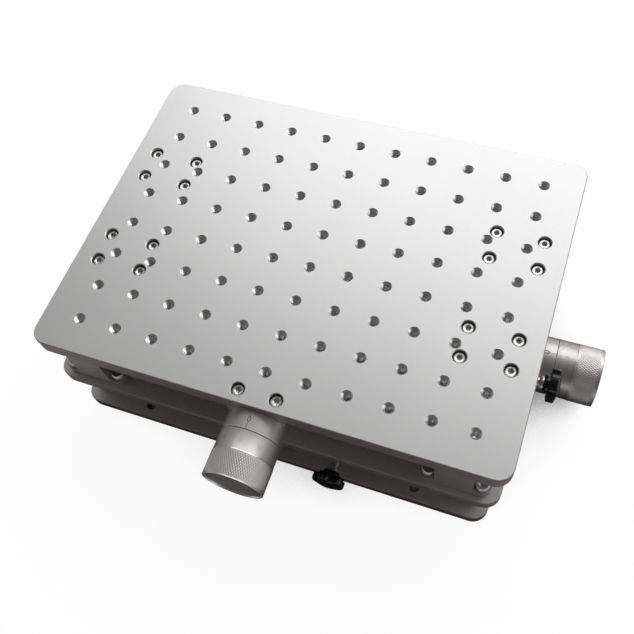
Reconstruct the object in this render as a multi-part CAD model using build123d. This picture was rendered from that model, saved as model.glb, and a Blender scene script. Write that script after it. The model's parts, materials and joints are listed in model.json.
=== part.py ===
from build123d import *
from dataclasses import dataclass
import os

os.makedirs("parts", exist_ok=True)

# Manual x-y stage: three plates with a guided gap between each pair.
# The saddle slides left and right on the base, and the table slides towards
# the front and the back on the saddle. Millimetres, +Z up, origin in the middle
# of the base's bottom face. The operator stands at the front, on the -Y side.

# Plates: width along X, depth along Y
table_width = 300.0
table_depth = 220.0
table_thickness = 12.0
saddle_width = 295.0
saddle_depth = 214.0
saddle_thickness = 8.0
base_width = 286.0
base_depth = 214.0
base_thickness = 8.0
plate_corner_radius = 10.0
plate_edge_chamfer = 0.8
layer_gap = 32.0
table_rest_offset = 5.0

# Grid of tapped M6 holes in the table, and the holes that hold the base down
grid_pitch = 25.0
grid_columns = 11
grid_rows = 8
grid_hole_diameter = 6.0
foot_hole_spacing_x = 190.0
foot_hole_spacing_y = 197.0
foot_hole_diameter = 6.6

# Guide shafts and the supports that hold their ends
shaft_diameter = 12.0
shaft_height = 17.0
shaft_end_gap = 0.3
y_shaft_spacing = 239.0
x_shaft_spacing = 152.0
support_inset = 3.5
support_depth = 11.0
support_end_wall = 2.0
support_tower_width = 23.0
support_top_gap = 1.6
support_top_chamfer = 2.0
support_ear_thickness = 6.0
support_screw_spacing = 32.0
grub_diameter = 4.0
grub_length = 6.8
grub_socket = 2.0
grub_socket_depth = 2.5

# Carriages: blocks under the moving plate, each with a bronze bushing
carriage_width = 42.0
carriage_body_width = 36.0
carriage_length = 32.0
carriage_height = 30.0
carriage_flange_height = 10.0
carriage_chamfer = 5.0
carriage_screw_across = 30.0
carriage_screw_along = 20.0
carriage_thread_depth = 10.0
y_carriage_spacing = 70.0
x_carriage_spacing = 88.0
bushing_diameter = 16.0
bushing_length = 30.0

# Lead screws, measured back from their shoulder, and the nuts on them
screw_drop = 11.7
screw_diameter = 12.0
screw_end_chamfer = 1.0
y_screw_length = 154.0
x_screw_length = 211.0
lead_nut_diameter = 18.0
lead_nut_flange_diameter = 29.0
lead_nut_flange_height = 19.6
lead_nut_flange_thickness = 4.0
lead_nut_screw_spacing = 23.2
nut_block_width = 34.0
nut_block_length = 24.0
nut_block_top_gap = 1.6
nut_block_top_chamfer = 3.0
nut_block_ear_thickness = 6.0
nut_block_ear_depth = 14.0
nut_block_screw_spacing = 46.0

# Bearing block under the moving plate's drum edge, with two ball bearings
bearing_block_depth = 16.0
bearing_block_screw_spacing = 24.0
bearing_block_thread_depth = 9.0
bearing_block_rear_bore = 14.0
bearing_diameter = 19.0
bearing_width = 5.0
bearing_count = 2
bearing_shield_recess = 0.4
bearing_ring_wall = 1.4

# Index collar, drum and the parts that clamp the drum on the screw's end
drum_diameter = 37.4
journal_diameter = 10.0
collar_length = 11.8
collar_spigot_length = 1.0
collar_bore = 15.0
collar_screw_circle = 26.0
collar_screw_count = 3
collar_thread_depth = 4.5
drum_gap = 0.3
drum_ring_length = 11.9
drum_grip_length = 17.0
drum_grip_diameter = 37.8
drum_rim_chamfer = 0.5
drum_cup_diameter = 35.4
drum_web_thickness = 8.0
drum_back_diameter = 31.0
drum_back_depth = 1.9
spacer_diameter = 13.0
screw_end_diameter = 8.0
screw_end_length = 10.0
clamp_allowance = 0.5
drum_nut_across_flats = 13.0
drum_nut_height = 6.5
drum_nut_flange_diameter = 16.0
drum_nut_flange_thickness = 1.6

# Locks: a star knob on a stud that presses a brass pad onto a guide shaft
stud_diameter = 6.0
pad_diameter = 4.4
pad_hole_diameter = 5.0
pad_length = 5.0
pad_gap = 0.5
pad_hole_overlap = 1.0
knob_radius = 10.6
knob_flute_radius = 4.2
knob_flute_depth = 2.8
knob_lobe_count = 5
knob_lobe_fillet = 1.0
knob_head_length = 6.8
knob_rim_length = 4.8
knob_crown_radius = 3.5
knob_hub_diameter = 12.0
knob_hub_length = 5.8
stud_depth_in_knob = 9.0
y_knob_reach = 45.0
x_knob_reach = 43.5

# Screws: M5 cap screws hold the supports and nut blocks on the plate below them,
# M4 cap screws hang the blocks under the plate above them, and M3 cap screws
# hold the collars and nuts
m5_diameter = 5.0
m5_head_diameter = 8.5
m5_head_height = 5.0
m5_socket = 4.0
m5_socket_depth = 2.5
m4_diameter = 4.0
m4_head_diameter = 7.0
m4_head_height = 4.0
m4_socket = 3.0
m4_socket_depth = 2.0
m3_diameter = 3.0
m3_head_diameter = 5.5
m3_head_height = 3.0
m3_socket = 2.5
m3_socket_depth = 1.3
m4_counterbore_diameter = 8.5
m3_counterbore_diameter = 6.2
m3_counterbore_depth = 3.3
table_counterbore_depth = 5.8
table_screw_length = 14.0
table_bearing_screw_length = 12.0
saddle_counterbore_depth = 5.0
saddle_screw_length = 10.0
saddle_bearing_screw_length = 8.0
block_screw_length = 13.0
collar_screw_length = 12.0
nut_screw_length = 10.0
nut_thread_depth = 8.0

# Clearances on the radius
thread_clearance = 0.05
running_clearance = 0.03
seat_clearance = 0.02
screw_hole_clearance = 0.25

# Extra length of a cutting body past the face that it cuts
past = 1.0

# Heights of the layers, and of things inside a layer above its lower plate
saddle_top = base_thickness + layer_gap + saddle_thickness
table_bottom = saddle_top + layer_gap
screw_height = layer_gap - screw_drop
carriage_floor = layer_gap - carriage_height
support_top = layer_gap - support_top_gap
grub_end = shaft_height + shaft_diameter / 2 + seat_clearance

# Distances along the lead screw to the rear of the moving plate's edge
bearing_stack = bearing_count * bearing_width
shoulder_y = collar_spigot_length + bearing_stack

# Distances in front of the moving plate's edge
drum_back = collar_length + drum_gap
web_back = drum_back + drum_back_depth
web_front = web_back + drum_web_thickness
grip_back = drum_back + drum_ring_length
grip_front = grip_back + drum_grip_length

# Distances out from a guide shaft's centre to the lock's parts
pad_start = shaft_diameter / 2 + pad_gap
stud_start = pad_start + pad_length


@dataclass
class Layer:
    """One guided gap, drawn with its travel along Y and its drum at -Y.

    Its drawing has z = 0 on the top face of the plate that stays behind.
    Corners go left front, left rear, right front, right rear in the drawing.
    """

    name: str
    place: Location
    corners: tuple
    sides: tuple
    shaft_spacing: float
    fixed_length: float
    moving_length: float
    moving_thickness: float
    rest_offset: float
    carriage_spacing: float
    screw_length: float
    counterbore_depth: float
    plate_screw_length: float
    bearing_screw_length: float
    lock_side: int
    knob_reach: float

    @property
    def support_y(self):
        return self.fixed_length / 2 - support_inset - support_depth / 2

    @property
    def edge_y(self):
        return self.rest_offset - self.moving_length / 2

    @property
    def nose(self):
        """Place on the lead screw's axis at the moving plate's drum edge."""
        return Pos(0, self.edge_y, screw_height)

    def write(self, node, *shapes):
        write_node(f"{self.name}_{node}", *[self.place * shape for shape in shapes])


y_layer = Layer(
    name="y",
    place=Pos(0, 0, saddle_top),
    corners=("front_left", "rear_left", "front_right", "rear_right"),
    sides=("left", "right"),
    shaft_spacing=y_shaft_spacing,
    fixed_length=saddle_depth,
    moving_length=table_depth,
    moving_thickness=table_thickness,
    rest_offset=table_rest_offset,
    carriage_spacing=y_carriage_spacing,
    screw_length=y_screw_length,
    counterbore_depth=table_counterbore_depth,
    plate_screw_length=table_screw_length,
    bearing_screw_length=table_bearing_screw_length,
    lock_side=1,
    knob_reach=y_knob_reach,
)
x_layer = Layer(
    name="x",
    place=Pos(0, 0, base_thickness) * Rot(0, 0, 90),
    corners=("front_right", "front_left", "rear_right", "rear_left"),
    sides=("front", "rear"),
    shaft_spacing=x_shaft_spacing,
    fixed_length=base_width,
    moving_length=saddle_width,
    moving_thickness=saddle_thickness,
    rest_offset=0.0,
    carriage_spacing=x_carriage_spacing,
    screw_length=x_screw_length,
    counterbore_depth=saddle_counterbore_depth,
    plate_screw_length=saddle_screw_length,
    bearing_screw_length=saddle_bearing_screw_length,
    lock_side=-1,
    knob_reach=x_knob_reach,
)


def write_node(node, *shapes):
    """Write one node, made of one or more separate solids."""
    solids = [solid for shape in shapes for solid in shape.solids()]
    body = solids[0] if len(solids) == 1 else Compound(solids)
    export_step(body, f"parts/{node}.step")


def pairs(spacing_x, spacing_y):
    """Corners of a rectangle about the origin, left front one first."""
    return [(sx * spacing_x / 2, sy * spacing_y / 2) for sx in (-1, 1) for sy in (-1, 1)]


def upright(radius, z_low, z_high, x=0.0, y=0.0):
    return Pos(x, y, z_low) * extrude(Circle(radius), z_high - z_low)


def along_y(radius, y_low, y_high, x=0.0, z=0.0):
    return Pos(x, y_high, z) * Rot(90, 0, 0) * extrude(Circle(radius), y_high - y_low)


def along_x(radius, x_low, x_high):
    return Pos(x_low, 0, 0) * Rot(0, 90, 0) * extrude(Circle(radius), x_high - x_low)


def turned(*corners):
    """Body turned about the Y axis from (radius, y) corners."""
    return revolve(make_face(Polyline(*corners, close=True)), Axis.Y)


def block(width, depth, z_low, z_high):
    """Rectangular block with its middle over the origin."""
    return Pos(0, 0, (z_low + z_high) / 2) * Box(width, depth, z_high - z_low)


# Screws and the holes that they need
def socket_recess(across_flats, depth):
    return extrude(RegularPolygon(across_flats / 2, 6, major_radius=False), depth)


def cap_screw(diameter, head_diameter, head_height, socket, socket_depth, length):
    """Upright socket head screw with the underside of its head at z = 0."""
    screw = upright(head_diameter / 2, 0, head_height) + upright(diameter / 2, -length, 0)
    return screw - Pos(0, 0, head_height - socket_depth) * socket_recess(socket, socket_depth)


def m5_screw(length):
    return cap_screw(
        m5_diameter, m5_head_diameter, m5_head_height, m5_socket, m5_socket_depth, length)


def m4_screw(length):
    return cap_screw(
        m4_diameter, m4_head_diameter, m4_head_height, m4_socket, m4_socket_depth, length)


def m3_screw(length):
    return cap_screw(
        m3_diameter, m3_head_diameter, m3_head_height, m3_socket, m3_socket_depth, length)


m5_thread_radius = m5_diameter / 2 + thread_clearance
m5_clear_radius = m5_diameter / 2 + screw_hole_clearance
m4_thread_radius = m4_diameter / 2 + thread_clearance
m4_clear_radius = m4_diameter / 2 + screw_hole_clearance
m3_thread_radius = m3_diameter / 2 + thread_clearance
m3_clear_radius = m3_diameter / 2 + screw_hole_clearance


def sunk_holes(places, thickness, depth):
    """Counterbored holes from the top of a plate with its underside at z = 0."""
    holes = []
    radius = m4_counterbore_diameter / 2
    for x, y in places:
        holes.append(upright(m4_clear_radius, -past, thickness, x, y))
        holes.append(upright(radius, thickness - depth, thickness + past, x, y))
    return holes


def through_holes(radius, places, thickness):
    return [upright(radius, -past, thickness + past, x, y) for x, y in places]


# Places in a layer's drawing that more than one part shares
def corner_places(layer, spacing_y, offset):
    return [(x, y + offset) for x, y in pairs(layer.shaft_spacing, spacing_y)]


def carriage_places(layer):
    return corner_places(layer, layer.carriage_spacing, layer.rest_offset)


def support_places(layer):
    return corner_places(layer, 2 * layer.support_y, 0)


def carriage_screw_places(layer):
    around = pairs(carriage_screw_across, carriage_screw_along)
    return [(x + dx, y + dy) for x, y in carriage_places(layer) for dx, dy in around]


def support_screw_places(layer):
    half = support_screw_spacing / 2
    return [(x + dx, y) for x, y in support_places(layer) for dx in (-half, half)]


def bearing_screw_places(layer):
    half = bearing_block_screw_spacing / 2
    return [(dx, layer.edge_y + bearing_block_depth / 2) for dx in (-half, half)]


def nut_block_screw_places():
    half = nut_block_screw_spacing / 2
    return [(-half, 0), (half, 0)]


def collar_screw_places():
    circle = PolarLocations(collar_screw_circle / 2, collar_screw_count, start_angle=-90)
    return [(spot.position.X, spot.position.Y) for spot in circle]


def lock_place(layer):
    """Place at the locked shaft's centre with X pointing out to the knob."""
    x = layer.lock_side * layer.shaft_spacing / 2
    y = layer.rest_offset - layer.carriage_spacing / 2
    return Pos(x, y, shaft_height) * Rot(0, 0, 0 if layer.lock_side > 0 else 180)


def in_model(layer, places):
    """Turn places in a layer's drawing into places in the model."""
    spots = [(layer.place * Pos(x, y, 0)).position for x, y in places]
    return [(spot.X, spot.Y) for spot in spots]


# The three plates
def plate(width, depth, thickness):
    """Plate with rounded corners and broken edges, its underside at z = 0."""
    body = extrude(RectangleRounded(width, depth, plate_corner_radius), thickness)
    faces = body.faces().sort_by(Axis.Z)
    return chamfer(faces[0].edges() + faces[-1].edges(), plate_edge_chamfer)


def moving_plate_holes(layer):
    places = in_model(layer, carriage_screw_places(layer) + bearing_screw_places(layer))
    return sunk_holes(places, layer.moving_thickness, layer.counterbore_depth)


def fixed_plate_holes(layer, thickness):
    places = in_model(layer, support_screw_places(layer) + nut_block_screw_places())
    return through_holes(m5_thread_radius, places, thickness)


def table_plate():
    grid = GridLocations(grid_pitch, grid_pitch, grid_columns, grid_rows)
    places = [(spot.position.X, spot.position.Y + table_rest_offset) for spot in grid]
    body = Pos(0, table_rest_offset, 0) * plate(table_width, table_depth, table_thickness)
    body -= through_holes(grid_hole_diameter / 2, places, table_thickness)
    body -= moving_plate_holes(y_layer)
    return Pos(0, 0, table_bottom) * body


def saddle_plate():
    body = plate(saddle_width, saddle_depth, saddle_thickness)
    body -= moving_plate_holes(x_layer)
    body -= fixed_plate_holes(y_layer, saddle_thickness)
    return Pos(0, 0, saddle_top - saddle_thickness) * body


def base_plate():
    feet = pairs(foot_hole_spacing_x, foot_hole_spacing_y)
    body = plate(base_width, base_depth, base_thickness)
    body -= fixed_plate_holes(x_layer, base_thickness)
    body -= through_holes(foot_hole_diameter / 2, feet, base_thickness)
    return body


# Guide shafts and their supports
def guide_shaft(layer):
    reach = layer.fixed_length / 2 - support_inset - support_end_wall - shaft_end_gap
    return Pos(0, 0, shaft_height) * along_y(shaft_diameter / 2, -reach, reach)


def shaft_support():
    """Tower with a blind bore for the shaft's front end and a round-ended ear on each side."""
    tower = block(support_tower_width, support_depth, 0, support_top)
    top_edges = tower.faces().sort_by(Axis.Z)[-1].edges().filter_by(Axis.Y)
    tower = chamfer(top_edges, support_top_chamfer)
    ears = SlotCenterToCenter(support_screw_spacing, support_depth)
    body = tower + extrude(ears, support_ear_thickness)
    half = support_screw_spacing / 2
    body -= through_holes(m5_clear_radius, [(-half, 0), (half, 0)], support_ear_thickness)
    bore = shaft_diameter / 2 + seat_clearance
    bore_floor = support_end_wall - support_depth / 2
    body -= along_y(bore, bore_floor, support_depth, 0, shaft_height)
    grub_hole = grub_diameter / 2 + thread_clearance
    return body - upright(grub_hole, shaft_height, support_top + past)


def grub_screw():
    """Grub screw that stands on the shaft with its socket upwards."""
    top = grub_end + grub_length
    recess = Pos(0, 0, top - grub_socket_depth) * socket_recess(grub_socket, grub_socket_depth)
    return upright(grub_diameter / 2, grub_end, top) - recess


# Carriages and bushings
def carriage(layer, spot):
    body = block(carriage_body_width, carriage_length, carriage_floor, layer_gap)
    low_edges = body.faces().sort_by(Axis.Z)[0].edges().filter_by(Axis.Y)
    body = chamfer(low_edges, carriage_chamfer)
    flange_floor = layer_gap - carriage_flange_height
    body += block(carriage_width, carriage_length, flange_floor, layer_gap)
    bore = bushing_diameter / 2 + seat_clearance
    body -= along_y(bore, -carriage_length, carriage_length, 0, shaft_height)
    thread_floor = layer_gap - carriage_thread_depth
    for x, y in pairs(carriage_screw_across, carriage_screw_along):
        body -= upright(m4_thread_radius, thread_floor, layer_gap + past, x, y)
    return Pos(*spot, 0) * body - lock_holes(layer)


def bushing(layer, spot):
    half = bushing_length / 2
    body = along_y(bushing_diameter / 2, -half, half)
    body -= along_y(shaft_diameter / 2 + running_clearance, -bushing_length, bushing_length)
    return Pos(*spot, shaft_height) * body - lock_holes(layer)


def lock_holes(layer):
    """Pad hole through the bushing's wall, and the stud's tapped hole outside it."""
    tapped_start = stud_start - pad_hole_overlap
    pad_hole = along_x(pad_hole_diameter / 2, 0, stud_start)
    tapped = along_x(stud_diameter / 2 + thread_clearance, tapped_start, carriage_width)
    return lock_place(layer) * (pad_hole + tapped)


# Lead nut and its block on the fixed plate
def lead_nut_screw_places():
    half = lead_nut_screw_spacing / 2
    return (-half, half)


def nut_block():
    body = block(nut_block_width, nut_block_length, 0, layer_gap - nut_block_top_gap)
    top_edges = body.faces().sort_by(Axis.Z)[-1].edges().filter_by(Axis.Y)
    body = chamfer(top_edges, nut_block_top_chamfer)
    ears = SlotCenterToCenter(nut_block_screw_spacing, nut_block_ear_depth)
    body += extrude(ears, nut_block_ear_thickness)
    body -= through_holes(m5_clear_radius, nut_block_screw_places(), nut_block_ear_thickness)
    bore = lead_nut_diameter / 2 + seat_clearance
    body -= along_y(bore, -nut_block_length, nut_block_length, 0, screw_height)
    front = -nut_block_length / 2
    for x in lead_nut_screw_places():
        body -= along_y(m3_thread_radius, front - past, front + nut_thread_depth, x, screw_height)
    return body


def lead_nut():
    """Flanged nut, the flange in front of the block and cut flat above and below."""
    half = nut_block_length / 2
    flange_front = -half - lead_nut_flange_thickness
    flat = lead_nut_flange_height / 2
    flange = along_y(lead_nut_flange_diameter / 2, flange_front, -half)
    flange &= block(lead_nut_flange_diameter, 2 * nut_block_length, -flat, flat)
    body = flange + along_y(lead_nut_diameter / 2, -half, half)
    body -= along_y(screw_diameter / 2 + thread_clearance, flange_front - past, half + past)
    for x in lead_nut_screw_places():
        body -= along_y(m3_clear_radius, flange_front - past, -half + past, x)
    return Pos(0, 0, screw_height) * body


def lead_nut_screws():
    y = -nut_block_length / 2 - lead_nut_flange_thickness
    facing = Rot(90, 0, 0) * m3_screw(nut_screw_length)
    return [Pos(x, y, screw_height) * facing for x in lead_nut_screw_places()]


# Parts on the screw's axis, drawn with y = 0 at the moving plate's edge
def bearing_block():
    depth = bearing_block_depth
    radius = drum_diameter / 2
    middle = Pos(0, depth / 2, 0)
    body = along_y(radius, 0, depth) & middle * block(2 * radius, depth, -radius, screw_drop)
    body += middle * block(2 * radius, depth, 0, screw_drop)
    body -= along_y(bearing_diameter / 2 + seat_clearance, -past, shoulder_y)
    body -= along_y(bearing_block_rear_bore / 2, 0, depth + past)
    half = bearing_block_screw_spacing / 2
    for x in (-half, half):
        floor = screw_drop - bearing_block_thread_depth
        body -= upright(m4_thread_radius, floor, screw_drop + past, x, depth / 2)
    for x, z in collar_screw_places():
        body -= along_y(m3_thread_radius, -past, collar_thread_depth, x, z)
    return body


def bearing(y):
    """Shielded ball bearing with its front face at y."""
    bore = journal_diameter / 2 + running_clearance
    outer = bearing_diameter / 2
    shield_in = bore + bearing_ring_wall
    shield_out = outer - bearing_ring_wall
    back = y + bearing_width
    low = y + bearing_shield_recess
    high = back - bearing_shield_recess
    return turned(
        (bore, y), (shield_in, y), (shield_in, low), (shield_out, low), (shield_out, y),
        (outer, y), (outer, back), (shield_out, back), (shield_out, high),
        (shield_in, high), (shield_in, back), (bore, back))


def index_collar():
    spigot = bearing_diameter / 2
    body = turned(
        (collar_bore / 2, collar_spigot_length), (spigot, collar_spigot_length), (spigot, 0),
        (drum_diameter / 2, 0), (drum_diameter / 2, -collar_length),
        (collar_bore / 2, -collar_length))
    seat = m3_counterbore_depth - collar_length
    for x, z in collar_screw_places():
        body -= along_y(m3_clear_radius, -collar_length, past, x, z)
        body -= along_y(m3_counterbore_diameter / 2, -collar_length - past, seat, x, z)
    return body


def collar_screws():
    seat = m3_counterbore_depth - collar_length
    facing = Rot(90, 0, 0) * m3_screw(collar_screw_length)
    return [Pos(x, seat, z) * facing for x, z in collar_screw_places()]


def lead_screw(length):
    """Screw with a shoulder behind the bearings and a threaded end for the drum nut."""
    radius = screw_diameter / 2
    journal = journal_diameter / 2
    end = screw_end_diameter / 2
    journal_end = clamp_allowance - web_front
    tip = journal_end - screw_end_length
    tail = shoulder_y + length
    return turned(
        (0, tail), (radius - screw_end_chamfer, tail), (radius, tail - screw_end_chamfer),
        (radius, shoulder_y), (journal, shoulder_y), (journal, journal_end), (end, journal_end),
        (end, tip + screw_end_chamfer), (end - screw_end_chamfer, tip), (0, tip))


def drum_spacer():
    """Sleeve between the front bearing and the drum's web."""
    bore = journal_diameter / 2 + seat_clearance
    outer = spacer_diameter / 2
    back = collar_spigot_length
    return turned((bore, -web_back), (outer, -web_back), (outer, back), (bore, back))


def drum():
    """Graduated ring and grip on one web, hollow in front."""
    bore = journal_diameter / 2 + seat_clearance
    ring = drum_diameter / 2
    grip = drum_grip_diameter / 2
    cup = drum_cup_diameter / 2
    back = drum_back_diameter / 2
    return turned(
        (bore, -web_back), (back, -web_back), (back, -drum_back), (ring, -drum_back),
        (ring, -grip_back), (grip, -grip_back - (grip - ring)),
        (grip, drum_rim_chamfer - grip_front), (grip - drum_rim_chamfer, -grip_front),
        (cup, -grip_front), (cup, -web_front), (bore, -web_front))


def drum_nut():
    height = drum_nut_flange_thickness + drum_nut_height
    nut = extrude(RegularPolygon(drum_nut_across_flats / 2, 6, major_radius=False), height)
    nut += extrude(Circle(drum_nut_flange_diameter / 2), drum_nut_flange_thickness)
    nut -= upright(screw_end_diameter / 2 + thread_clearance, -past, height + past)
    return Pos(0, -web_front, 0) * Rot(90, 0, 0) * nut


# Lock parts, drawn with X pointing out from the guide shaft's centre
def lock_pad():
    return along_x(pad_diameter / 2, pad_start, stud_start)


def hub_start(layer):
    return layer.knob_reach - knob_head_length - knob_hub_length


def lock_stud(layer):
    return along_x(stud_diameter / 2, stud_start, hub_start(layer) + stud_depth_in_knob)


def lock_knob(layer):
    """Star knob with a low conical crown, a round hub and a blind hole for the stud."""
    flute_centre = knob_radius - knob_flute_depth + knob_flute_radius
    star = Circle(knob_radius)
    star -= PolarLocations(flute_centre, knob_lobe_count) * Circle(knob_flute_radius)
    star = fillet(star.vertices(), knob_lobe_fillet)
    crown_length = knob_head_length - knob_rim_length
    low = (Align.CENTER, Align.CENTER, Align.MIN)
    crown = Cone(knob_radius, knob_crown_radius, crown_length, align=low)
    head = extrude(star, knob_rim_length)
    head += Pos(0, 0, knob_rim_length) * (extrude(star, crown_length) & crown)
    knob = Pos(0, 0, knob_hub_length) * head + upright(knob_hub_diameter / 2, 0, knob_hub_length)
    knob -= upright(stud_diameter / 2 + seat_clearance, -past, stud_depth_in_knob)
    return Pos(hub_start(layer), 0, 0) * Rot(0, 90, 0) * knob


def write_guides(layer):
    """Write the shafts with their supports, and the carriages that run on them."""
    for side, s in zip(layer.sides, (-1, 1)):
        shaft = Pos(s * layer.shaft_spacing / 2, 0, 0) * guide_shaft(layer)
        layer.write(f"guide_shaft_{side}", shaft)
    for corner, (x, y) in zip(layer.corners, support_places(layer)):
        facing = Rot(0, 0, 0 if y < 0 else 180)
        layer.write(f"shaft_support_{corner}", Pos(x, y, 0) * facing * shaft_support())
    for corner, spot in zip(layer.corners, carriage_places(layer)):
        layer.write(f"carriage_{corner}", carriage(layer, spot))
    layer.write("bushings", *[bushing(layer, spot) for spot in carriage_places(layer)])
    layer.write("shaft_grub_screws", *[
        Pos(*spot, 0) * grub_screw() for spot in support_places(layer)])


def write_drive(layer):
    """Write the lead screw, its nut and bearings, and the drum on its end."""
    nose = layer.nose
    layer.write("nut_block", nut_block())
    layer.write("lead_nut", lead_nut())
    layer.write("bearing_block", nose * bearing_block())
    layer.write("bearings", *[
        nose * bearing(collar_spigot_length + number * bearing_width)
        for number in range(bearing_count)])
    layer.write("index_collar", nose * index_collar())
    layer.write("lead_screw", nose * lead_screw(layer.screw_length))
    layer.write("drum_spacer", nose * drum_spacer())
    layer.write("drum", nose * drum())
    layer.write("drum_nut", nose * drum_nut())


def write_lock(layer):
    outwards = lock_place(layer)
    layer.write("lock_pad", outwards * lock_pad())
    layer.write("lock_stud", outwards * lock_stud(layer))
    layer.write("lock_knob", outwards * lock_knob(layer))


def write_screws(layer):
    """Write each group of screws that holds one kind of block."""
    seat = layer_gap + layer.moving_thickness - layer.counterbore_depth
    layer.write("support_screws", *[
        Pos(x, y, support_ear_thickness) * m5_screw(block_screw_length)
        for x, y in support_screw_places(layer)])
    layer.write("nut_screws", *lead_nut_screws(), *[
        Pos(x, y, nut_block_ear_thickness) * m5_screw(block_screw_length)
        for x, y in nut_block_screw_places()])
    layer.write("carriage_screws", *[
        Pos(x, y, seat) * m4_screw(layer.plate_screw_length)
        for x, y in carriage_screw_places(layer)])
    layer.write("bearing_block_screws", *[layer.nose * screw for screw in collar_screws()], *[
        Pos(x, y, seat) * m4_screw(layer.bearing_screw_length)
        for x, y in bearing_screw_places(layer)])


write_node("table_plate", table_plate())
write_node("saddle_plate", saddle_plate())
write_node("base_plate", base_plate())
for layer in (y_layer, x_layer):
    write_guides(layer)
    write_drive(layer)
    write_lock(layer)
    write_screws(layer)
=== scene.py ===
import json
from collections import namedtuple
from functools import partial
from math import copysign, cos, exp, log, pi, radians, sin, sqrt

import bmesh
import bpy
from bpy.props import FloatProperty, FloatVectorProperty, IntProperty, PointerProperty
from bpy.types import Operator, Panel, PropertyGroup
from mathutils import Matrix, Vector

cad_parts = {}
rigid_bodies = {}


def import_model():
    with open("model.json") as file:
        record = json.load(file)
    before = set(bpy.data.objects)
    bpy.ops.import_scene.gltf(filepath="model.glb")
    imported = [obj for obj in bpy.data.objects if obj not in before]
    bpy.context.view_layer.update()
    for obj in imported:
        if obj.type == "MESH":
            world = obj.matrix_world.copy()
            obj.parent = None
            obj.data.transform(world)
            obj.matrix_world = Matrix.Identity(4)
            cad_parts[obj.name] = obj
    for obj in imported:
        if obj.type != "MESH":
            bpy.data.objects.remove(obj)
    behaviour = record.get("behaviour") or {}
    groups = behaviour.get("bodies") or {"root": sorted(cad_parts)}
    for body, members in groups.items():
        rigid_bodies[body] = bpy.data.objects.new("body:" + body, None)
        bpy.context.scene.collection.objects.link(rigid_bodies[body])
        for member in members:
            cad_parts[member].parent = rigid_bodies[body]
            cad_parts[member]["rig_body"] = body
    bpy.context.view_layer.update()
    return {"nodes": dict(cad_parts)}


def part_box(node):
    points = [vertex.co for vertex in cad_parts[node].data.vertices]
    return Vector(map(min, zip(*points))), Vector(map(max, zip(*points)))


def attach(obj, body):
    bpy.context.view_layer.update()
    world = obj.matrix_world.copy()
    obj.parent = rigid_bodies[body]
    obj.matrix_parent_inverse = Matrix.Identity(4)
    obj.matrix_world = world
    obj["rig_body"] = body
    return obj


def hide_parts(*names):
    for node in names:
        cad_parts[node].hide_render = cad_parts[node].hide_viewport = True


bl_info = {
    "name": "Manual X-Y Stage",
    "version": (1, 0, 0),
    "blender": (4, 5, 0),
    "location": "3D View > Sidebar > X-Y Stage",
    "description": "Dresses the plates, drums, screws and knobs of a hand-driven x-y stage",
    "category": "Object",
}

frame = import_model()
nodes = frame["nodes"]

mm = 0.001
layers = ("x", "y")
corners = ("front_left", "front_right", "rear_left", "rear_right")
up = Vector((0, 0, 1))
drum_way = {"x": Vector((1, 0, 0)), "y": Vector((0, -1, 0))}
lock_way = {"x": drum_way["y"], "y": drum_way["x"]}

# Places in a piece's list of finishes, after its main one
in_recess, on_side, in_thread = 1, 2, 3


# Finishes
class Shade:
    """A socket in a finish that takes part in Python sums, each adding its Math node."""

    def __init__(self, finish, socket):
        self.finish = finish
        self.socket = socket

    def output(self, name):
        return Shade(self.finish, self.socket.node.outputs[name])

    def math(self, operation, first, second):
        return self.finish.node("Math", {"operation": operation}, {0: first, 1: second})

    def __add__(self, other):
        return self.math("ADD", self, other)

    __radd__ = __add__

    def __sub__(self, other):
        return self.math("SUBTRACT", self, other)

    def __rsub__(self, other):
        return self.math("SUBTRACT", other, self)

    def __mul__(self, other):
        return self.math("MULTIPLY", self, other)

    __rmul__ = __mul__

    def __pow__(self, other):
        return self.math("POWER", self, other)


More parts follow.
